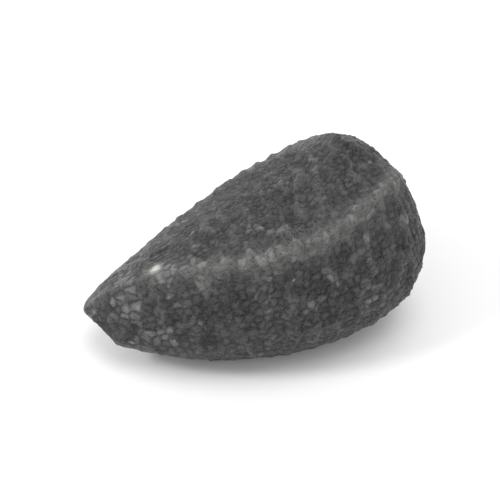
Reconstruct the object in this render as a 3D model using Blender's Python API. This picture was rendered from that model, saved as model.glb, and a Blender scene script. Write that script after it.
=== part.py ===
"""A black cumin seed, the seed of Nigella sativa, lying on its belly.

The seed is one piece. It is a drop with a cut-off hilum end at -X and a blunt end at +X. Three raised
ridges run along it and meet high on the back of the blunt end. The flat top face lies between the main
ridge, which looks to the front (-Y), and the far ridge. The flat back face lies between the far ridge
and the low one. The broad round belly runs from the low ridge under the seed and up to the main ridge.
A raised net of walls covers all of it, in rows that run across the seed.
Its lowest place is pressed flat, and that spot is what it rests on."""

import math
import random

import bmesh
import bpy
import numpy as np
from mathutils import Vector, kdtree, noise

# Sizes are in metres, and MM turns millimetres into them
MM = 0.001

# The axis is one cubic Bezier curve. It climbs from the hilum and turns up and back into the blunt end
AXIS = np.array([(-1.26, 0.08, 0.40), (-0.43, 0.00, 0.71), (0.61, 0.00, 0.80), (1.24, 0.23, 0.85)]) * MM
GIRTH = 0.89 * MM  # from the axis to the main ridge where the seed is thickest

# The section's corners, going up from the front: the main, far and low ridges and the belly's soft
# shoulder. A turn is an angle about the axis in degrees, 0 to the front and 90 straight up
CORNER_TURNS = (41.0, 157.0, 241.0, 319.0)
CORNER_REACHES = (1.00, 0.97, 0.92, 0.93)  # a corner's longest distance from the axis, over the girth
CORNER_SUMMITS = (0.56, 0.82, 0.62, 0.60)  # where that is, from 0 at the hilum to 1 at the blunt end
CORNER_HILUMS = (0.14, 0.22, 0.22, 0.39)  # a corner's share of that distance at the hilum
CORNER_SLACKS = (0.87, 0.95, 0.95, 0.93)  # below 1 the way up to the summit is fuller, above 1 leaner
RIDGES = 3  # the first corners are ridges
RIDGE_SAG = 138.0  # the main ridge rises by this many degrees for the square of a whole length from mid
END_BLUNTNESS = 2.7  # 2 closes the blunt end as an ellipse, and more makes it blunter

# The faces after each corner: top, back, belly and front. A bulge is 0 for a flat face and 1 for a round
# one, and goes from its first value to its second across the face
FACE_BULGES = ((0.20, 0.20), (0.22, 0.22), (0.40, 1.0), (1.0, 0.46))
END_ROUNDING = 0.6  # how much of the flatness is gone at the blunt end

# The hilum end is cut on a slant, and its scar is dished
HILUM_SLANT = 0.12 * MM  # how far the lower lip is set back, and the upper one is drawn out
HILUM_SLANT_LENGTH = 0.22  # over this part of the axis
HILUM_DISH = 0.045 * MM

# Relief, along the outward normal
CREST_HEIGHT = 0.033 * MM
CREST_WIDTH = 0.065 * MM
WALL_HEIGHT = 0.034 * MM
WALL_WIDTH = 0.043 * MM
ROW_PITCH = 0.155 * MM  # between rows of cells, along the seed
CELL_WIDTH = 0.26 * MM  # between cells of a row, across it
CELL_JITTER = 0.28  # over a cell's own size
SWELL_HEIGHT = 0.03 * MM
SWELL_SIZE = 0.70 * MM
NET_SEED = 7

FLAT_DEPTH = 0.063 * MM  # how much of the lowest place is pressed flat
# The flat spot's four corners, seen from above and going around to the left, about the centre of mass
FLAT_CORNERS = np.array([(0.55, 0.22), (0.00, 0.22), (0.00, -0.40), (0.55, -0.40)]) * MM
FLAT_HOLLOW = 0.002 * MM  # how much higher the rest of the spot is, so that the corners alone are stood on
FLAT_EDGE_SLOPE = 0.2  # the pressed skin beyond the corners' outline rises by this much ...
FLAT_EDGE_HEIGHT = 0.03 * MM  # ... up to here

# The mesh: rings along the axis, and columns in each face that crowd towards its corners
RINGS = 82
FACE_COLUMNS = (18, 14, 16, 18)
COLUMN_CROWDING = 0.3
SCAR_RINGS = (0.85, 0.60, 0.30)  # over the hilum's radius
PLACES_MEASURED = 3000  # along the seed, for spacing the rings and the net's rows
TURNS_MEASURED = 72  # around a row of the net, for spacing its cells

TESTA_COLOUR = (0.035, 0.035, 0.036, 1.0)
TESTA_ROUGHNESS = 0.72

TURN = 2.0 * math.pi
DOWN = 0.75 * TURN
TINY = 1e-9  # keeps a closing section from dividing by nothing


def smooth(share):
    """Eases a share from 0 to 1, flat at both ends."""
    share = np.clip(share, 0.0, 1.0)
    return share * share * (3.0 - 2.0 * share)


def axis_frame(along):
    """The axis point, and the unit vectors along it, to its front and up."""
    t = np.asarray(along, dtype=float)[..., None]
    rest = 1.0 - t
    start, start_pull, end_pull, end = AXIS
    point = rest**3 * start + 3 * rest**2 * t * start_pull + 3 * rest * t**2 * end_pull + t**3 * end
    first, second, last = start_pull - start, end_pull - start_pull, end - end_pull
    tangent = rest**2 * first + 2 * rest * t * second + t**2 * last
    tangent /= np.linalg.norm(tangent, axis=-1, keepdims=True)
    front = np.cross(tangent, (0.0, 0.0, 1.0))
    front /= np.linalg.norm(front, axis=-1, keepdims=True)
    return point, tangent, front, np.cross(front, tangent)


def corner_turns(along):
    """The corners' angles in radians. The main ridge sags towards the front at mid length."""
    turns = [np.radians(turn) + np.zeros_like(along) for turn in CORNER_TURNS]
    turns[0] = turns[0] + np.radians(RIDGE_SAG) * (along - 0.5) ** 2
    return turns


def corner_reach(along, corner):
    """A corner's distance from the axis, over the girth: a sine up to its summit, then a round cap."""
    summit, start = CORNER_SUMMITS[corner], CORNER_HILUMS[corner]
    rise = np.sin(0.25 * TURN * np.clip(along / summit, 0.0, 1.0)) ** CORNER_SLACKS[corner]
    beyond = np.clip((along - summit) / (1.0 - summit), 0.0, 1.0)
    cap = np.clip(1.0 - beyond**END_BLUNTNESS, 0.0, 1.0) ** (1.0 / END_BLUNTNESS)
    return CORNER_REACHES[corner] * (start + (1.0 - start) * rise) * cap


def section(along, turn):
    """The skin's distance from the axis and from the nearest ridge, both over the girth."""
    turns = corner_turns(along)
    reach = np.zeros_like(turn)
    ridge_gap = np.full_like(turn, TURN)
    rounding = END_ROUNDING * smooth(2.0 * along - 1.0)
    for corner in range(len(turns)):
        following = (corner + 1) % len(turns)
        span = (turns[following] - turns[corner]) % TURN
        past = (turn - turns[corner]) % TURN
        share = past / span
        near, far = corner_reach(along, corner), corner_reach(along, following)
        across = np.maximum(near * np.sin(past) + far * np.sin(span - past), TINY)
        chord = near * far * np.sin(span) / across
        arc = near + (far - near) * smooth(share)
        first, last = FACE_BULGES[corner]
        bulge = first + (last - first) * smooth(share)
        bulge = bulge + (1.0 - bulge) * rounding
        reach = np.where(share < 1.0, chord + (arc - chord) * bulge, reach)
        if corner < RIDGES:
            ridge_gap = np.minimum(ridge_gap, np.minimum(past, TURN - past) * near)
    return reach, ridge_gap


def skin(along, turn):
    """Points of the seed's skin without its relief, and their distance from the nearest ridge."""
    point, tangent, front, up = axis_frame(along)
    reach, ridge_gap = section(along, turn)
    setback = -HILUM_SLANT * np.sin(turn) * (1.0 - smooth(along / HILUM_SLANT_LENGTH))
    outward = np.cos(turn)[..., None] * front + np.sin(turn)[..., None] * up
    return point + GIRTH * reach[..., None] * outward + setback[..., None] * tangent, GIRTH * ridge_gap


def path_lengths(points):
    """The way travelled along a row of points, from 0 at the first."""
    return np.concatenate(([0.0], np.cumsum(np.linalg.norm(np.diff(points, axis=0), axis=1))))


def ring_places():
    """Places along the axis for the rings, evenly spaced along the skin."""
    places = np.sin(0.25 * TURN * np.linspace(0.0, 1.0, PLACES_MEASURED))
    sides = [skin(places, np.full_like(places, 0.25 * TURN * side))[0] for side in range(4)]
    travelled = np.mean([path_lengths(side) for side in sides], axis=0)
    return np.interp(travelled[-1] * np.arange(RINGS) / (RINGS - 0.5), travelled, places)


def column_turns(along):
    """The angle of each column at a place along the axis, so that a column runs on each corner."""
    turns = corner_turns(along)
    angles = []
    for corner, columns in enumerate(FACE_COLUMNS):
        span = (turns[(corner + 1) % len(turns)] - turns[corner]) % TURN
        even = np.arange(columns) / columns
        angles.append(turns[corner] + span * (even - COLUMN_CROWDING * np.sin(TURN * even) / TURN))
    return np.concatenate(angles)


def net_cells():
    """The middles of the net's cells: rows across the seed, evenly spaced along its belly, with each
    row shifted and each cell shaken a little."""
    draw = random.Random(NET_SEED)
    places = np.sin(0.25 * TURN * np.linspace(0.0, 1.0, PLACES_MEASURED))
    travelled = path_lengths(skin(places, np.full_like(places, DOWN))[0])
    around = np.linspace(0.0, TURN, TURNS_MEASURED)
    cells = []
    for row in range(int(travelled[-1] / ROW_PITCH)):
        middle = (row + 0.5) * ROW_PITCH
        ring = skin(np.full_like(around, np.interp(middle, travelled, places)), around)[0]
        count = max(3, round(path_lengths(ring)[-1] / CELL_WIDTH))
        shift = draw.random()
        for cell in range(count):
            way = middle + draw.uniform(-1, 1) * CELL_JITTER * ROW_PITCH
            turn = TURN * (cell + shift + draw.uniform(-1, 1) * CELL_JITTER) / count
            cells.append(skin(np.interp(way, travelled, places), np.array(turn))[0])
    return cells


def net_heights(points):
    """The raised net: walls between the two nearest cells. The cells are narrower along the seed."""
    stretch = Vector((CELL_WIDTH / ROW_PITCH, 1.0, 1.0))
    cells = net_cells()
    tree = kdtree.KDTree(len(cells))
    for index, cell in enumerate(cells):
        tree.insert(Vector(cell) * stretch, index)
    tree.balance()
    heights = []
    for point in points:
        nearest, second = tree.find_n(point * stretch, 2)
        from_wall = 0.5 * (second[2] - nearest[2])
        heights.append(WALL_HEIGHT * math.exp(-((from_wall / WALL_WIDTH) ** 2)))
    return heights


def add_relief(verts, ridge_gaps):
    """Raises the crests of the ridges, the net and the faces' slow unevenness."""
    points = [vert.co.copy() for vert in verts]
    normals = [vert.normal.copy() for vert in verts]
    for vert, point, normal, wall, gap in zip(verts, points, normals, net_heights(points), ridge_gaps):
        crest = CREST_HEIGHT * math.exp(-((gap / CREST_WIDTH) ** 2))
        swell = SWELL_HEIGHT * noise.noise(point / SWELL_SIZE)
        vert.co = point + (wall + crest + swell) * normal


def skin_rings():
    """The skin's rings from the hilum to the blunt end, with each point's distance from the nearest ridge."""
    rings, ridge_gaps = [], []
    for along in ring_places():
        turns = column_turns(np.array(along))
        ring, ridge_gap = skin(np.full_like(turns, along), turns)
        rings.append(ring)
        ridge_gaps.append(ridge_gap)
    return rings, ridge_gaps


def scar_rings(lip):
    """The smooth rings of the dished scar inside the hilum's lip, from its middle out, and its middle."""
    middle = lip.mean(axis=0)
    inward = axis_frame(0.0)[1]
    rings = [
        middle + share * (lip - middle) + HILUM_DISH * (1.0 - share**2) * inward
        for share in sorted(SCAR_RINGS)
    ]
    return rings, middle + HILUM_DISH * inward


def seed_mesh():
    """The rings joined into one closed skin, with its relief."""
    rings, ridge_gaps = skin_rings()
    scar_part, scar_point = scar_rings(rings[0])
    bm = bmesh.new()
    rows = [[bm.verts.new(point) for point in ring] for ring in scar_part + rings]
    scar = bm.verts.new(scar_point)
    end = bm.verts.new(axis_frame(1.0)[0])
    columns = len(rows[0])
    for column in range(columns):
        following = (column + 1) % columns
        for row, next_row in zip(rows, rows[1:]):
            bm.faces.new((row[column], row[following], next_row[following], next_row[column]))
        bm.faces.new((scar, rows[0][following], rows[0][column]))
        bm.faces.new((end, rows[-1][column], rows[-1][following]))
    bmesh.ops.recalc_face_normals(bm, faces=bm.faces)
    bm.normal_update()
    skin_rows = rows[len(scar_part) :]
    add_relief([vert for row in skin_rows for vert in row], np.concatenate(ridge_gaps))
    return bm


def set_down(bm):
    """Presses the lowest place flat at z = 0 and puts the middle of the seed's box over the origin."""
    low = Vector(min(vert.co[side] for vert in bm.verts) for side in range(3))
    high = Vector(max(vert.co[side] for vert in bm.verts) for side in range(3))
    middle = 0.5 * (low + high)
    for vert in bm.verts:
        height = max(0.0, vert.co.z - low.z - FLAT_DEPTH)
        vert.co = Vector((vert.co.x - middle.x, vert.co.y - middle.y, height))


def trim_flat_spot(bm):
    """Leaves the flat spot four corners, so that the seed stands on them steadily. The spot is a little
    hollow between them, and the pressed skin beyond their outline is lifted."""
    pressed = [vert for vert in bm.verts if vert.co.z == 0.0]
    corners = [min(pressed, key=lambda vert: (vert.co.xy - Vector(corner)).length) for corner in FLAT_CORNERS]
    outline = [corner.co.xy for corner in corners]
    edges = [(end - start).normalized() for start, end in zip(outline, outline[1:] + outline[:1])]
    for vert in bm.verts:
        if vert in corners:
            continue
        beyond = max((vert.co.xy - corner).cross(edge) for corner, edge in zip(outline, edges))
        lift = min(FLAT_HOLLOW + FLAT_EDGE_SLOPE * max(beyond, 0.0), FLAT_EDGE_HEIGHT)
        vert.co.z = max(vert.co.z, lift)


def testa_material():
    """The dull black seed coat."""
    material = bpy.data.materials.new("testa")
    material.use_nodes = True
    shader = material.node_tree.nodes["Principled BSDF"]
    shader.inputs["Base Color"].default_value = TESTA_COLOUR
    shader.inputs["Roughness"].default_value = TESTA_ROUGHNESS
    shader.inputs["Metallic"].default_value = 0.0
    return material


def build_seed():
    """The seed as one object."""
    bm = seed_mesh()
    set_down(bm)
    trim_flat_spot(bm)
    bmesh.ops.triangulate(bm, faces=bm.faces)
    mesh = bpy.data.meshes.new("seed")
    bm.to_mesh(mesh)
    bm.free()
    mesh.shade_smooth()
    mesh.materials.append(testa_material())
    seed = bpy.data.objects.new("seed", mesh)
    bpy.context.scene.collection.objects.link(seed)


for leftover in list(bpy.data.objects):
    bpy.data.objects.remove(leftover)
build_seed()
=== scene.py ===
"""A black cumin seed, the seed of Nigella sativa, with its fine coat, its floor, its light and its camera.

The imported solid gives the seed's place and size. A finer seed of the same form stands for it here: the same
drop, ridges and raised net, with round granules all over it, beaded crests, a rough scar, a few flecks of
dust and one pale crumb. One procedural material colours it by the marks that the mesh carries."""

import math
import random

import bpy
import numpy as np
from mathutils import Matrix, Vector, kdtree, noise


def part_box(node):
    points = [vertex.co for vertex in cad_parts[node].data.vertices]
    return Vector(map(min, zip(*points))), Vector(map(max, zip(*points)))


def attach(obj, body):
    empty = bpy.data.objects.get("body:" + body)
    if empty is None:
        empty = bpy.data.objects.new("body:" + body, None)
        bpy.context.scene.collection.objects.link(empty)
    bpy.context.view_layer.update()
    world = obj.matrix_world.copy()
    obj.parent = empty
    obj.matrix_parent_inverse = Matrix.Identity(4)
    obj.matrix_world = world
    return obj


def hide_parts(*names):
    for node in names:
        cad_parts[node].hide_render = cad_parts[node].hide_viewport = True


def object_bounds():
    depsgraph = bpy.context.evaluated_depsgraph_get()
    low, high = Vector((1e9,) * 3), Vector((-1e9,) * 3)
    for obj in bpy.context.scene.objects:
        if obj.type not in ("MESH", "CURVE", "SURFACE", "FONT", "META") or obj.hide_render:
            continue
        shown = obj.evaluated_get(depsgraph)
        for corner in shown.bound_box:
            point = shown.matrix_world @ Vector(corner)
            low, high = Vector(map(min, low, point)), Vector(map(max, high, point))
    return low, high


# Lengths are in metres, and MM turns millimetres into them
MM = 0.001
TURN = 2.0 * math.pi
QUARTER = 0.25 * TURN
DOWN = 3.0 * QUARTER
TINY = 1e-9  # keeps a closing section from dividing by nothing

# The form, as the solid has it. The axis is one cubic Bezier curve from the hilum to the blunt end
AXIS = np.array([(-1.26, 0.08, 0.40), (-0.43, 0.00, 0.71), (0.61, 0.00, 0.80), (1.24, 0.23, 0.85)]) * MM
GIRTH = 0.89 * MM  # from the axis to the main ridge where the seed is thickest

# The section's corners, going up from the front: the main, far and low ridges and the belly's soft
# shoulder. A turn is an angle about the axis in degrees, 0 to the front and 90 straight up
CORNER_TURNS = (41.0, 157.0, 241.0, 319.0)
CORNER_REACHES = (1.00, 0.97, 0.92, 0.93)  # a corner's longest distance from the axis, over the girth
CORNER_SUMMITS = (0.56, 0.82, 0.62, 0.60)  # where that is, from 0 at the hilum to 1 at the blunt end
CORNER_HILUMS = (0.14, 0.22, 0.22, 0.39)  # a corner's share of that distance at the hilum
CORNER_SLACKS = (0.87, 0.95, 0.95, 0.93)  # below 1 the way up to the summit is fuller, above 1 leaner
RIDGES = 3  # the first corners are ridges
RIDGE_SAG = 138.0  # the main ridge rises by this many degrees for the square of a whole length from mid
END_BLUNTNESS = 2.7  # 2 closes the blunt end as an ellipse, and more makes it blunter

# The faces after each corner: top, back, belly and front. A bulge is 0 for a flat face and 1 for a round
# one, and goes from its first value to its second across the face
FACE_BULGES = ((0.20, 0.20), (0.22, 0.22), (0.40, 1.0), (1.0, 0.46))
END_ROUNDING = 0.6  # how much of the flatness is gone at the blunt end

# The hilum end is cut on a slant, and its scar is dished
HILUM_SLANT = 0.12 * MM  # how far the lower lip is set back, and the upper one is drawn out
HILUM_SLANT_LENGTH = 0.22  # over this part of the axis
HILUM_DISH = 0.045 * MM

# The spot that it lies on: the bare skin is pressed up to here, and its relief still stands out below
SOLE_DEPTH = 0.07 * MM
SOLE_SOFTNESS = 0.012 * MM  # how gradually the level sole goes over into the belly

# The solid's net of cells, in rows across the seed, and the granules that only this piece has
ROW_PITCH = 0.155 * MM  # between rows of cells, along the seed
CELL_WIDTH = 0.26 * MM  # between cells of a row, across it
CELL_JITTER = 0.28  # over a cell's own size
NET_SEED = 7
GRANULE_PITCH = 0.060 * MM
GRANULE_JITTER = 0.42  # over a granule's own size
GRANULE_SEED = 11
LEAST_CELLS = 3  # in a row

# Relief, along the outward normal
WALL_HEIGHT = 0.055 * MM
WALL_WIDTH = 0.024 * MM
WALL_WIDTHS = (0.65, 1.35)  # the narrowest and the widest walls, over the usual width
CROSS_WALLS = 0.45  # the height of walls that run along the seed, over that of walls across it
WALL_WANDER = 0.034 * MM  # how far the walls stray from straight lines
WANDER_SIZE = 0.13 * MM
FINE_WANDER = 0.4  # the finer straying's size and reach, over those
WANDER_SEED = 3
WALL_DECAY = 0.6  # how much lower the lowest walls are than the highest
DECAY_SIZE = 0.24 * MM
WIDTH_SIZE = 0.7 * DECAY_SIZE  # of the stretches where the walls are narrower or wider
KNOT_HEIGHT = 0.006 * MM  # more height where walls meet
PIT_DEPTH = 0.018 * MM  # between the deepest and the shallowest cells
PIT_EDGE = 2.0 * WALL_WIDTH  # how far from the wall a cell has its full depth
GRANULE_HEIGHT = 0.034 * MM
GRANULE_HEIGHTS = (0.35, 1.0)  # the lowest and the tallest granules, over the height above
CREST_HEIGHT = 0.033 * MM  # along the ridges
CREST_WIDTH = 0.070 * MM
BEAD_SIZE = 0.06 * MM
BEAD_DEPTH = 0.45  # how much of a crest's height comes and goes along it
SWELL_HEIGHT = 0.03 * MM
SWELL_SIZE = 0.70 * MM
CRUMPLE_HEIGHT = 0.018 * MM
CRUMPLE_SIZE = 0.20 * MM

# Wear: the share of the granules that are worn pale anywhere, and what is added to it at some places
WORN_ANYWHERE = 0.02
WORN_IN_CLUSTERS = 0.55
WORN_ON_CRESTS = 0.45
WORN_AT_HILUM = 0.12
HILUM_REACH = 1.3 * MM  # how far from the pointed end the wear there goes
CLUSTER_SIZE = 0.19 * MM
CLUSTER_EDGE = 0.34  # the noise at a cluster's outline
CLUSTERS_AT_HILUM = 0.30  # how much that noise is raised near the pointed end, for more clusters
WEAR_EDGE = 0.10  # how gradually a cluster begins, and how gradually a granule counts as worn
WEAR_SEED = 23
CREST_START = 0.35  # a crest's paleness at the pointed end, over its paleness from mid length on
CREST_RISE = 0.5  # the part of the length over which that paleness comes
RIM_WIDTH = 0.17 * MM  # how far from a ridge the faces are a little paler

# Pale flecks of dust, from the smallest to the largest
FLECKS = 14
FLECK_RADII = (0.006 * MM, 0.013 * MM)
FLECK_HEIGHTS = (0.002 * MM, 0.005 * MM)
FLECK_SEED = 5

# The crumb that lies beside the start of the main ridge: its place along the axis and its turn about it
CRUMB_ALONG = 0.20
CRUMB_TURN = 62.0
CRUMB_RADIUS = 0.050 * MM
CRUMB_HEIGHT = 0.016 * MM

# The coat's two colours, in patches of this size
MOTTLE_SIZE = 0.16 * MM
COAT_COLOURS = ((0.006, 0.006, 0.007, 1.0), (0.018, 0.018, 0.019, 1.0))

# The colours over the coat's, from the first laid on to the last: the mark that carries each, the size of
# its patches, its least and greatest share in them, and its colour
COLOUR_LAYERS = (
    # granule: painted light and shade, the granule tops paler and the creases between them darker, for the
    # relief's shading
    ("granule", 0.13 * MM, 0.50, 0.95, (0.076, 0.076, 0.076, 1.0)),
    ("rim", 0.22 * MM, 0.15, 0.65, (0.084, 0.083, 0.082, 1.0)),
    # wall: painted light and shade, the net's raised walls paler and the pits between them darker, for the
    # relief's shading
    ("wall", 0.16 * MM, 0.10, 0.75, (0.088, 0.087, 0.085, 1.0)),
    ("crest", 0.14 * MM, 0.50, 0.95, (0.122, 0.120, 0.117, 1.0)),
    ("worn", 0.12 * MM, 0.50, 1.00, (0.180, 0.178, 0.174, 1.0)),
    ("scar", 0.10 * MM, 0.60, 0.90, (0.085, 0.075, 0.064, 1.0)),
    ("fleck", 0.10 * MM, 0.60, 1.00, (0.300, 0.290, 0.275, 1.0)),
    ("crumb", 0.10 * MM, 0.85, 1.00, (0.550, 0.535, 0.510, 1.0)),
)
PATCH_NOISE = (4.0, 0.6)  # the noise's detail and roughness
PATCH_EDGE = (0.38, 0.62)  # the noise between a patch's outside and its inside

# Gloss, in glossier and duller specks
GLOSS_SIZE = 0.03 * MM
GLOSS_NOISE = (3.0, 0.5)  # the noise's detail and roughness
GLOSS_EDGE = (0.3, 0.7)  # the noise where a speck is glossiest and dullest
ROUGHNESS = (0.30, 0.56)
SPECULAR = 0.3

# The relief that is too small for the mesh
PAPILLA_SIZE = 0.026 * MM
PAPILLA_EDGE = (0.55, 0.15)  # from a papilla's foot to its top, over its size
PAPILLA_HEIGHT = 0.009 * MM
GRIT_SIZE = 0.014 * MM
GRIT_NOISE = (4.0, 0.6)  # the noise's detail and roughness
GRIT_HEIGHT = 0.004 * MM

# The mesh: rings along the axis, and columns in each face that crowd towards its corners
RINGS = 282
SCAR_RINGS = 14
FACE_COLUMNS = (90, 70, 78, 84)
COLUMN_CROWDING = 0.25
PLACES_MEASURED = 3000  # along the skin, and more of them near the blunt end
TURNS_MEASURED = 72  # around a row of the net, for spacing its cells

# A Mix node's colour sockets, which share their names with other ones
MIX_FIRST = 6
MIX_SECOND = 7
MIX_RESULT = 2

# The camera looks along the photograph's line of sight. Azimuth 0 is to the front, and 90 to the right
AZIMUTH = -16.0
ELEVATION = 40.0
LENS_MM = 90.0
SENSOR_MM = 36.0
FRAME_WIDTH = 4.1 * MM  # what the picture shows from side to side at the seed
NEAREST_SEEN = 0.05  # over the camera's distance from the seed

# The floor
FLOOR_RADIUS = 90.0 * MM
FLOOR_SIDES = 96
FLOOR_COLOUR = (0.80, 0.80, 0.80, 1.0)
FLOOR_ROUGHNESS = 0.9
FLOOR_SPECULAR = 0.1

# The light. A lamp has its azimuth and elevation, the angle that it fills, and the share of white to which
# it lights a white surface that faces it
WORLD_COLOUR = (1.0, 1.0, 1.0, 1.0)
WORLD_STRENGTH = 1.00
OVERHEAD = (20.0, 78.0, 34.0, 0.34)
KEY = (-88.0, 44.0, 14.0, 0.34)


def smooth(share):
    """Eases a share from 0 to 1, flat at both ends."""
    share = np.clip(share, 0.0, 1.0)
    return share * share * (3.0 - 2.0 * share)


def unit(vectors):
    """Vectors of length one."""
    return vectors / np.maximum(np.linalg.norm(vectors, axis=-1, keepdims=True), TINY)


def axis_frame(along):
    """The axis point, and the unit vectors along it, to its front and up."""
    t = np.asarray(along, dtype=float)[..., None]
    rest = 1.0 - t
    start, start_pull, end_pull, end = AXIS
    point = rest**3 * start + 3 * rest**2 * t * start_pull + 3 * rest * t**2 * end_pull + t**3 * end
    first, second, last = start_pull - start, end_pull - start_pull, end - end_pull
    tangent = unit(rest**2 * first + 2 * rest * t * second + t**2 * last)
    front = unit(np.cross(tangent, (0.0, 0.0, 1.0)))
    return point, tangent, front, np.cross(front, tangent)


def corner_turns(along):
    """The corners' angles in radians. The main ridge sags towards the front at mid length."""
    turns = [np.radians(turn) + np.zeros_like(along) for turn in CORNER_TURNS]
    turns[0] = turns[0] + np.radians(RIDGE_SAG) * (along - 0.5) ** 2
    return turns


def corner_reach(along, corner):
    """A corner's distance from the axis, over the girth: a sine up to its summit, then a round cap."""
    summit, start = CORNER_SUMMITS[corner], CORNER_HILUMS[corner]
    rise = np.sin(QUARTER * np.clip(along / summit, 0.0, 1.0)) ** CORNER_SLACKS[corner]
    beyond = np.clip((along - summit) / (1.0 - summit), 0.0, 1.0)
    cap = np.clip(1.0 - beyond**END_BLUNTNESS, 0.0, 1.0) ** (1.0 / END_BLUNTNESS)
    return CORNER_REACHES[corner] * (start + (1.0 - start) * rise) * cap


def section(along, turn):
    """The skin's distance from the axis and from the nearest ridge, both over the girth."""
    turns = corner_turns(along)
    reach = np.zeros_like(turn)
    ridge_gap = np.full_like(turn, TURN)
    rounding = END_ROUNDING * smooth(2.0 * along - 1.0)
    for corner in range(len(turns)):
        following = (corner + 1) % len(turns)
        span = (turns[following] - turns[corner]) % TURN
        past = (turn - turns[corner]) % TURN
        share = past / span
        near, far = corner_reach(along, corner), corner_reach(along, following)
        across = np.maximum(near * np.sin(past) + far * np.sin(span - past), TINY)
        chord = near * far * np.sin(span) / across
        arc = near + (far - near) * smooth(share)
        first, last = FACE_BULGES[corner]
        bulge = first + (last - first) * smooth(share)
        bulge = bulge + (1.0 - bulge) * rounding
        reach = np.where(share < 1.0, chord + (arc - chord) * bulge, reach)
        if corner < RIDGES:
            ridge_gap = np.minimum(ridge_gap, np.minimum(past, TURN - past) * near)
    return reach, ridge_gap


def skin(along, turn):
    """Points of the seed's skin without its relief, and their distance from the nearest ridge."""
    point, tangent, front, up = axis_frame(along)
    reach, ridge_gap = section(along, turn)
    setback = -HILUM_SLANT * np.sin(turn) * (1.0 - smooth(along / HILUM_SLANT_LENGTH))
    outward = np.cos(turn)[..., None] * front + np.sin(turn)[..., None] * up
    return point + GIRTH * reach[..., None] * outward + setback[..., None] * tangent, GIRTH * ridge_gap


def path_lengths(points):
    """The way travelled along a row of points, from 0 at the first."""
    return np.concatenate(([0.0], np.cumsum(np.linalg.norm(np.diff(points, axis=0), axis=1))))


def places_along():
    """Close places along the axis, closer near the blunt end, where the skin turns across it."""
    return np.sin(QUARTER * np.linspace(0.0, 1.0, PLACES_MEASURED))


def ring_places():
    """Places along the axis for the rings, evenly spaced along the skin. The last is half a step short of
    the blunt end."""
    places = places_along()
    sides = [skin(places, np.full_like(places, QUARTER * side))[0] for side in range(4)]
    travelled = np.mean([path_lengths(side) for side in sides], axis=0)
    return np.interp(travelled[-1] * np.arange(RINGS) / (RINGS - 0.5), travelled, places)


def column_turns(along):
    """The angles of the columns on each ring, so that a column runs on each corner."""
    turns = corner_turns(along)
    angles = []
    for corner, columns in enumerate(FACE_COLUMNS):
        span = (turns[(corner + 1) % len(turns)] - turns[corner]) % TURN
        even = np.arange(columns) / columns
        eased = even - COLUMN_CROWDING * np.sin(TURN * even) / TURN
        angles.append(turns[corner][:, None] + span[:, None] * eased)
    return np.concatenate(angles, axis=1)


def seed_grid():
    """The bare skin as rings of points from the middle of the scar to the blunt end, each point's distance
    from the nearest ridge, and its share of the coat: 1 on the coat and less than 1 inside the scar."""
    along = ring_places()
    turns = column_turns(along)
    points, ridge_gaps = skin(np.repeat(along[:, None], turns.shape[1], axis=1), turns)
    lip, middle, inward = points[0], points[0].mean(axis=0), axis_frame(0.0)[1]
    shares = np.arange(1, SCAR_RINGS) / SCAR_RINGS
    scar = [middle + share * (lip - middle) + HILUM_DISH * (1.0 - share**2) * inward for share in shares]
    coat = np.concatenate([shares, np.ones(RINGS)])
    gaps = np.concatenate([shares[:, None] * ridge_gaps[0], ridge_gaps])
    return np.concatenate([np.array(scar), points]), gaps, coat[:, None] * np.ones(turns.shape[1])


def grid_normals(grid):
    """Outward unit normals of a grid of rings and columns."""
    along = np.gradient(grid, axis=0)
    around = np.roll(grid, -1, axis=1) - np.roll(grid, 1, axis=1)
    return unit(np.cross(along, around))


def net_cells(row_pitch, cell_width, jitter, number):
    """The middles of a net's cells: rows across the seed, evenly spaced along its belly, with each row
    shifted and each cell shaken by its jitter, over its own size."""
    draw = random.Random(number)
    places = places_along()
    travelled = path_lengths(skin(places, np.full_like(places, DOWN))[0])
    around = np.linspace(0.0, TURN, TURNS_MEASURED)
    cells = []
    for row in range(int(travelled[-1] / row_pitch)):
        middle = (row + 0.5) * row_pitch
        ring = skin(np.full_like(around, np.interp(middle, travelled, places)), around)[0]
        count = max(LEAST_CELLS, round(path_lengths(ring)[-1] / cell_width))
        shift = draw.random()
        for cell in range(count):
            way = middle + draw.uniform(-1, 1) * jitter * row_pitch
            turn = TURN * (cell + shift + draw.uniform(-1, 1) * jitter) / count
            cells.append(skin(np.interp(way, travelled, places), np.array(turn))[0])
    return np.array(cells)


def tree_of(points):
    """A search tree of points."""
    tree = kdtree.KDTree(len(points))
    for index, point in enumerate(points):
        tree.insert(point, index)
    tree.balance()
    return tree


def gaps_between(points, cells, stretch):
    """For each point its nearest cell, its distances from the lines midway between that cell and the two
    after it, and how far each of those lines runs across the seed, from 0 to 1."""
    spots = cells * stretch
    tree = tree_of(spots)
    stretched = points * stretch
    nearest = np.array([[hit[1] for hit in tree.find_n(point, 3)] for point in stretched])
    own, others = spots[nearest[:, :1]], spots[nearest[:, 1:]]
    towards = unit(others - own)
    gap = np.sum((0.5 * (own + others) - stretched[:, None]) * towards, axis=-1)
    facing = towards * stretch
    steepness = np.linalg.norm(facing, axis=-1)
    return nearest[:, 0], gap / steepness, np.abs(facing[..., 0]) / steepness


def drawn(count, number, low, high):
    """As many numbers between two limits, always the same ones for the same seed number."""
    draw = random.Random(number)
    return np.array([draw.uniform(low, high) for _ in range(count)])


def noise_at(points, size):
    """Smooth noise between about -1 and 1, with features of a size."""
    return np.array([noise.noise(Vector(point)) for point in points / size])


def wandered(points):
    """The points shifted by smooth noise, for walls that aren't straight. Blender's noise vectors differ
    from run to run unless they are seeded."""
    noise.seed_set(WANDER_SEED)
    shifts = [noise.noise_vector(Vector(point)) for point in points / WANDER_SIZE]
    finer = [noise.noise_vector(Vector(point)) for point in points / (FINE_WANDER * WANDER_SIZE)]
    return points + WALL_WANDER * (np.array(shifts) + FINE_WANDER * np.array(finer))


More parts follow.
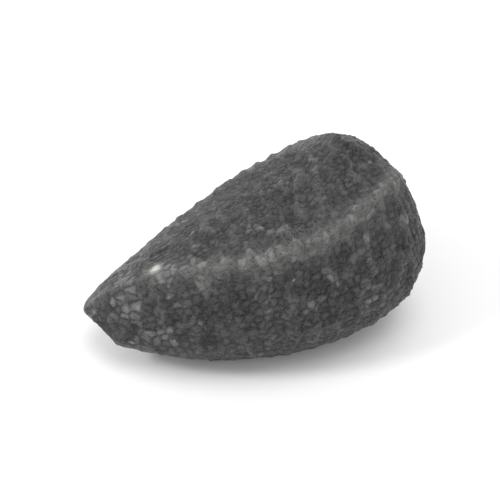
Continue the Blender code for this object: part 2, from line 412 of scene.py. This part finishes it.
def large_net(points):
    """The net's height, and the share of it that is wall: walls of uneven height and width, higher in the
    knots where they meet, around cells of uneven depth."""
    cells = net_cells(ROW_PITCH, CELL_WIDTH, CELL_JITTER, NET_SEED)
    stretch = np.array((CELL_WIDTH / ROW_PITCH, 1.0, 1.0))
    own, gaps, across = gaps_between(wandered(points), cells, stretch)
    narrow, wide = WALL_WIDTHS
    width = WALL_WIDTH * (narrow + (wide - narrow) * smooth(0.5 + noise_at(points, WIDTH_SIZE)))
    close = np.exp(-((gaps / width[:, None]) ** 2))
    lasting = 1.0 - WALL_DECAY * smooth(0.5 + noise_at(points, DECAY_SIZE))
    strength = CROSS_WALLS + (1.0 - CROSS_WALLS) * across
    # The material also paints light and shade by this share: the walls paler, the pits between them darker
    wall = lasting * (1.0 - np.prod(1.0 - strength * close, axis=1))
    knot = np.prod(close, axis=1)
    pit = drawn(len(cells), NET_SEED, 0.0, 1.0)[own] * smooth(np.min(gaps, axis=1) / PIT_EDGE)
    return WALL_HEIGHT * wall + KNOT_HEIGHT * knot - PIT_DEPTH * pit, wall


def granules(points):
    """The round granules that cover the coat, domed as parabolas: their height, a share of 1 on the tallest
    tops, and each granule's rank, which decides whether it is a worn one."""
    cells = net_cells(GRANULE_PITCH, GRANULE_PITCH, GRANULE_JITTER, GRANULE_SEED)
    own, gaps, _ = gaps_between(points, cells, np.ones(3))
    inward = np.clip(2.0 * np.min(gaps, axis=1) / GRANULE_PITCH, 0.0, 1.0)
    # The material also paints light and shade by this share: the tops paler, the creases between granules
    # darker
    top = drawn(len(cells), GRANULE_SEED, *GRANULE_HEIGHTS)[own] * inward * (2.0 - inward)
    return GRANULE_HEIGHT * top, top, drawn(len(cells), WEAR_SEED, 0.0, 1.0)[own]


def onward(points, reach):
    """How far the points are from the pointed end, from 0 there to 1 at a reach from it."""
    return smooth((points[:, 0] - points[:, 0].min()) / reach)


def worn_share(points, rank, granule, crest):
    """How worn each point is: some granules' tops, more in clusters, on crests and near the hilum."""
    near_hilum = 1.0 - onward(points, HILUM_REACH)
    raised = noise_at(points, CLUSTER_SIZE) + CLUSTERS_AT_HILUM * near_hilum
    cluster = smooth((raised - CLUSTER_EDGE) / WEAR_EDGE)
    chance = WORN_ANYWHERE + WORN_IN_CLUSTERS * cluster + WORN_ON_CRESTS * crest + WORN_AT_HILUM * near_hilum
    return granule * smooth(0.5 + (chance - rank) / WEAR_EDGE)


def scattered(points, count, number, radii, heights):
    """Small humps scattered over the points: how much of one stands at each point, and its height there."""
    draw = random.Random(number)
    chosen = [points[draw.randrange(len(points))] for _ in range(count)]
    sizes = np.array([draw.uniform(*radii) for _ in chosen])
    tops = np.array([draw.uniform(*heights) for _ in chosen])
    tree = tree_of(chosen)
    hits = [tree.find(Vector(point)) for point in points]
    index = np.array([hit[1] for hit in hits])
    hump = np.exp(-((np.array([hit[2] for hit in hits]) / sizes[index]) ** 2))
    return hump, tops[index] * hump


def crumb_at(points):
    """How much of the crumb beside the main ridge stands at each point."""
    middle = skin(np.array(CRUMB_ALONG), np.radians(CRUMB_TURN))[0]
    return np.exp(-((np.linalg.norm(points - middle, axis=1) / CRUMB_RADIUS) ** 2))


def relief(grid, ridge_gaps, coat):
    """The height of the relief all over the grid, and the marks that the material reads."""
    points = grid.reshape(-1, 3)
    gaps = ridge_gaps.ravel()
    inside = coat.ravel()
    bead = 1.0 - BEAD_DEPTH * smooth(0.5 + noise_at(points, BEAD_SIZE))
    crest = inside * bead * np.exp(-((gaps / CREST_WIDTH) ** 2))
    fleck, fleck_height = scattered(points, FLECKS, FLECK_SEED, FLECK_RADII, FLECK_HEIGHTS)
    crumb = crumb_at(points)
    net, wall = large_net(points)
    granule_height, granule, rank = granules(points)
    height = net + granule_height + fleck_height + CRUMB_HEIGHT * crumb + CREST_HEIGHT * crest
    height = inside**2 * height + SWELL_HEIGHT * noise_at(points, SWELL_SIZE)
    height = height + CRUMPLE_HEIGHT * noise_at(points, CRUMPLE_SIZE)
    past_hilum = onward(points, CREST_RISE * np.ptp(points[:, 0]))
    marks = {
        # painted light and shade on the granules: tops pale, creases dark
        "granule": granule,
        "rim": inside * past_hilum * np.exp(-((gaps / RIM_WIDTH) ** 2)),
        # painted light and shade on the net: walls pale, pits dark
        "wall": wall,
        "crest": crest * (CREST_START + (1.0 - CREST_START) * past_hilum),
        "worn": worn_share(points, rank, granule, crest),
        "scar": 1.0 - inside,
        "fleck": fleck,
        "crumb": crumb,
    }
    return height, marks


def pressed(grid):
    """The bare skin with its lowest place pressed to a level sole."""
    above = (grid[..., 2] - grid[..., 2].min() - SOLE_DEPTH) / SOLE_SOFTNESS
    heights = SOLE_SOFTNESS * np.logaddexp(above, 0.0)
    return np.concatenate([grid[..., :2], heights[..., None]], axis=-1)


def fitted(points, low, high):
    """The points, fitted to the solid's box."""
    start, end = points.min(axis=0), points.max(axis=0)
    return low + (points - start) / (end - start) * (high - low)


def band_faces(rings, columns):
    """The quads between the rings, and the column and the ring of each of their corners."""
    ring, column = np.meshgrid(np.arange(rings - 1), np.arange(columns), indexing="ij")
    corners = ((0, 0), (1, 0), (1, 1), (0, 1))
    faces = np.stack([(ring + up) * columns + (column + on) % columns for up, on in corners], axis=-1)
    places = np.stack([np.stack([column + on, ring + up], axis=-1) for up, on in corners], axis=-2)
    return faces.reshape(-1, 4).tolist(), places.reshape(-1, 2)


def fan_faces(tip, tip_ring, ring, columns, steps):
    """The triangles from a tip to a ring, and the column and the ring of each of their corners. The steps
    go from a column to a triangle's two corners on the ring."""
    column = np.arange(columns)
    first, second = (column + step for step in steps)
    ends = [ring * columns + side % columns for side in (first, second)]
    faces = np.stack([np.full(columns, tip), *ends], axis=-1)
    rows = np.full((columns, 3), (tip_ring, ring, ring))
    places = np.stack([np.stack([column + 0.5, first, second], axis=-1), rows], axis=-1)
    return faces.tolist(), places.reshape(-1, 2)


def seed_piece():
    """The fine seed: one closed mesh with its marks and a map of its columns and rings."""
    grid, ridge_gaps, coat = seed_grid()
    height, marks = relief(grid, ridge_gaps, coat)
    rings, columns = grid.shape[:2]
    raised = pressed(grid) + height.reshape(rings, columns, 1) * grid_normals(grid)
    tips = [raised[0].mean(axis=0), raised[-1].mean(axis=0)]
    low, high = (np.array(corner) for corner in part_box("seed"))
    points = fitted(np.concatenate([raised.reshape(-1, 3), tips]), low, high)

    band, band_map = band_faces(rings, columns)
    scar, scar_map = fan_faces(rings * columns, -1, 0, columns, (0, 1))
    end, end_map = fan_faces(rings * columns + 1, rings, rings - 1, columns, (1, 0))
    mesh = bpy.data.meshes.new("seed_coat")
    mesh.from_pydata(points.tolist(), [], band + scar + end)
    places = (np.concatenate([band_map, scar_map, end_map]) + (0.0, 1.0)) / (columns, rings + 1)
    mesh.uv_layers.new(name="OFBake").data.foreach_set("uv", places.ravel())
    for name, values in marks.items():
        kept = np.concatenate([values, [values[:columns].mean(), values[-columns:].mean()]])
        mesh.attributes.new(name, "FLOAT", "POINT").data.foreach_set("value", kept)
    mesh.shade_smooth()
    mesh.update()
    piece = bpy.data.objects.new("seed_coat", mesh)
    bpy.context.scene.collection.objects.link(piece)
    return piece


class Nodes:
    """Short words for building a material's node tree."""

    def __init__(self, tree):
        self.tree = tree

    def add(self, kind, **settings):
        """A new node of a kind, with its settings."""
        node = self.tree.nodes.new(kind)
        for name, value in settings.items():
            setattr(node, name, value)
        return node

    def feed(self, socket, value):
        """Links an output to a socket, or sets the socket to a plain value."""
        if isinstance(value, bpy.types.NodeSocket):
            self.tree.links.new(value, socket)
        else:
            socket.default_value = value

    def place(self):
        """The place on the seed."""
        return self.add("ShaderNodeTexCoord").outputs["Object"]

    def mark(self, name):
        """A mark that the mesh carries at its points."""
        return self.add("ShaderNodeAttribute", attribute_name=name).outputs["Fac"]

    def product(self, first, second):
        """One value times another."""
        node = self.add("ShaderNodeMath", operation="MULTIPLY")
        self.feed(node.inputs[0], first)
        self.feed(node.inputs[1], second)
        return node.outputs[0]

    def ramp(self, value, edge, result):
        """Goes smoothly from one result to the other as the value goes from one edge to the other."""
        node = self.add("ShaderNodeMapRange", interpolation_type="SMOOTHSTEP")
        names = ("Value", "From Min", "From Max", "To Min", "To Max")
        for name, setting in zip(names, (value, *edge, *result)):
            self.feed(node.inputs[name], setting)
        return node.outputs["Result"]

    def grain(self, size, detail, roughness):
        """Noise between 0 and 1 with features of a size, fixed to the seed."""
        node = self.add("ShaderNodeTexNoise")
        self.feed(node.inputs["Vector"], self.place())
        self.feed(node.inputs["Scale"], 1.0 / size)
        self.feed(node.inputs["Detail"], detail)
        self.feed(node.inputs["Roughness"], roughness)
        return node.outputs["Fac"]

    def cells(self, size):
        """The distance from the middle of the nearest cell, over the cells' size."""
        node = self.add("ShaderNodeTexVoronoi")
        self.feed(node.inputs["Vector"], self.place())
        self.feed(node.inputs["Scale"], 1.0 / size)
        return node.outputs["Distance"]

    def patches(self, size, least, most):
        """Uneven patches of a size, between a least and a greatest share."""
        return self.ramp(self.grain(size, *PATCH_NOISE), PATCH_EDGE, (least, most))

    def blend(self, share, first, second):
        """The first colour, with a share of the second over it."""
        node = self.add("ShaderNodeMix", data_type="RGBA", blend_type="MIX")
        self.feed(node.inputs["Factor"], share)
        self.feed(node.inputs[MIX_FIRST], first)
        self.feed(node.inputs[MIX_SECOND], second)
        return node.outputs[MIX_RESULT]

    def bump(self, height, distance, below=None):
        """Relief of a height, on top of other relief where that is given."""
        node = self.add("ShaderNodeBump")
        self.feed(node.inputs["Strength"], 1.0)
        self.feed(node.inputs["Distance"], distance)
        self.feed(node.inputs["Height"], height)
        if below:
            self.feed(node.inputs["Normal"], below)
        return node.outputs["Normal"]


def new_material(name):
    """A material with its node words and its shader."""
    material = bpy.data.materials.new(name)
    material.use_nodes = True
    return material, Nodes(material.node_tree), material.node_tree.nodes["Principled BSDF"]


def testa_material():
    """The dull black coat: charcoal, with painted shade that makes it darkest in the pits and in the creases
    between granules, painted light on the walls and granule tops, and paler on ridges and worn granules.
    """
    material, nodes, shader = new_material("testa")
    colour = nodes.blend(nodes.patches(MOTTLE_SIZE, 0.0, 1.0), *COAT_COLOURS)
    for mark, size, least, most, tint in COLOUR_LAYERS:
        share = nodes.product(nodes.mark(mark), nodes.patches(size, least, most))
        colour = nodes.blend(share, colour, tint)
    nodes.feed(shader.inputs["Base Color"], colour)
    shader.inputs["Specular IOR Level"].default_value = SPECULAR
    gloss = nodes.grain(GLOSS_SIZE, *GLOSS_NOISE)
    nodes.feed(shader.inputs["Roughness"], nodes.ramp(gloss, GLOSS_EDGE, ROUGHNESS))
    papilla = nodes.ramp(nodes.cells(PAPILLA_SIZE), PAPILLA_EDGE, (0.0, 1.0))
    papillae = nodes.bump(papilla, PAPILLA_HEIGHT)
    grit = nodes.grain(GRIT_SIZE, *GRIT_NOISE)
    nodes.feed(shader.inputs["Normal"], nodes.bump(grit, GRIT_HEIGHT, papillae))
    return material


def floor_material():
    """The plain pale surface that the seed lies on."""
    material, _, shader = new_material("floor")
    shader.inputs["Base Color"].default_value = FLOOR_COLOUR
    shader.inputs["Roughness"].default_value = FLOOR_ROUGHNESS
    shader.inputs["Specular IOR Level"].default_value = FLOOR_SPECULAR
    return material


def floor_piece():
    """A plain disc, far wider than the view."""
    turns = TURN * np.arange(FLOOR_SIDES) / FLOOR_SIDES
    rim = [(FLOOR_RADIUS * math.cos(turn), FLOOR_RADIUS * math.sin(turn), 0.0) for turn in turns]
    mesh = bpy.data.meshes.new("floor")
    mesh.from_pydata(rim, [], [list(range(FLOOR_SIDES))])
    mesh.materials.append(floor_material())
    floor = bpy.data.objects.new("floor", mesh)
    bpy.context.scene.collection.objects.link(floor)
    return floor


def direction(azimuth, elevation):
    """The unit vector from the seed towards a place seen at these angles, in degrees."""
    around, upward = math.radians(azimuth), math.radians(elevation)
    level = math.cos(upward)
    return Vector((math.sin(around) * level, -math.cos(around) * level, math.sin(upward)))


def distant_lamp(name, azimuth, elevation, angle, brightness):
    """A lamp far away, as soft as a disc that fills the angle."""
    lamp = bpy.data.lights.new(name, "SUN")
    lamp.angle = math.radians(angle)
    lamp.energy = brightness * math.pi
    shining = bpy.data.objects.new(name, lamp)
    shining.rotation_euler = direction(azimuth, elevation).to_track_quat("Z", "Y").to_euler()
    bpy.context.scene.collection.objects.link(shining)


def studio_light():
    """A white room, with a large lamp overhead and a smaller one at the left."""
    world = bpy.data.worlds.new("studio")
    world.use_nodes = True
    background = world.node_tree.nodes["Background"]
    background.inputs["Color"].default_value = WORLD_COLOUR
    background.inputs["Strength"].default_value = WORLD_STRENGTH
    bpy.context.scene.world = world
    distant_lamp("overhead", *OVERHEAD)
    distant_lamp("key", *KEY)


def camera_for(low, high):
    """The camera, at the photograph's viewing angle and aimed at the middle of the seed."""
    data = bpy.data.cameras.new("camera")
    data.lens = LENS_MM
    data.sensor_width = SENSOR_MM
    distance = FRAME_WIDTH * LENS_MM / SENSOR_MM
    data.clip_start = NEAREST_SEEN * distance
    data.clip_end = 2.0 * FLOOR_RADIUS
    towards = direction(AZIMUTH, ELEVATION)
    camera = bpy.data.objects.new("camera", data)
    camera.location = 0.5 * (low + high) + distance * towards
    camera.rotation_euler = towards.to_track_quat("Z", "Y").to_euler()
    bpy.context.scene.collection.objects.link(camera)
    bpy.context.scene.camera = camera


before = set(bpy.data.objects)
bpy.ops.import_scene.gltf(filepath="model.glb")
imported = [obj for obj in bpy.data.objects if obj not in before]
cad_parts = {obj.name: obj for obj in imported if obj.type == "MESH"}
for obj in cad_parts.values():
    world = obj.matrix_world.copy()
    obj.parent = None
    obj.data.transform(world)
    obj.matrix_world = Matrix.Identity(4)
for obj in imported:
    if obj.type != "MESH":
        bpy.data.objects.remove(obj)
cad_low, cad_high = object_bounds()

coat_piece = seed_piece()
coat_piece.data.materials.append(testa_material())
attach(coat_piece, "root")
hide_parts("seed")

floor_piece()
studio_light()
camera_for(cad_low, cad_high)
bpy.context.scene.view_settings.view_transform = "Standard"
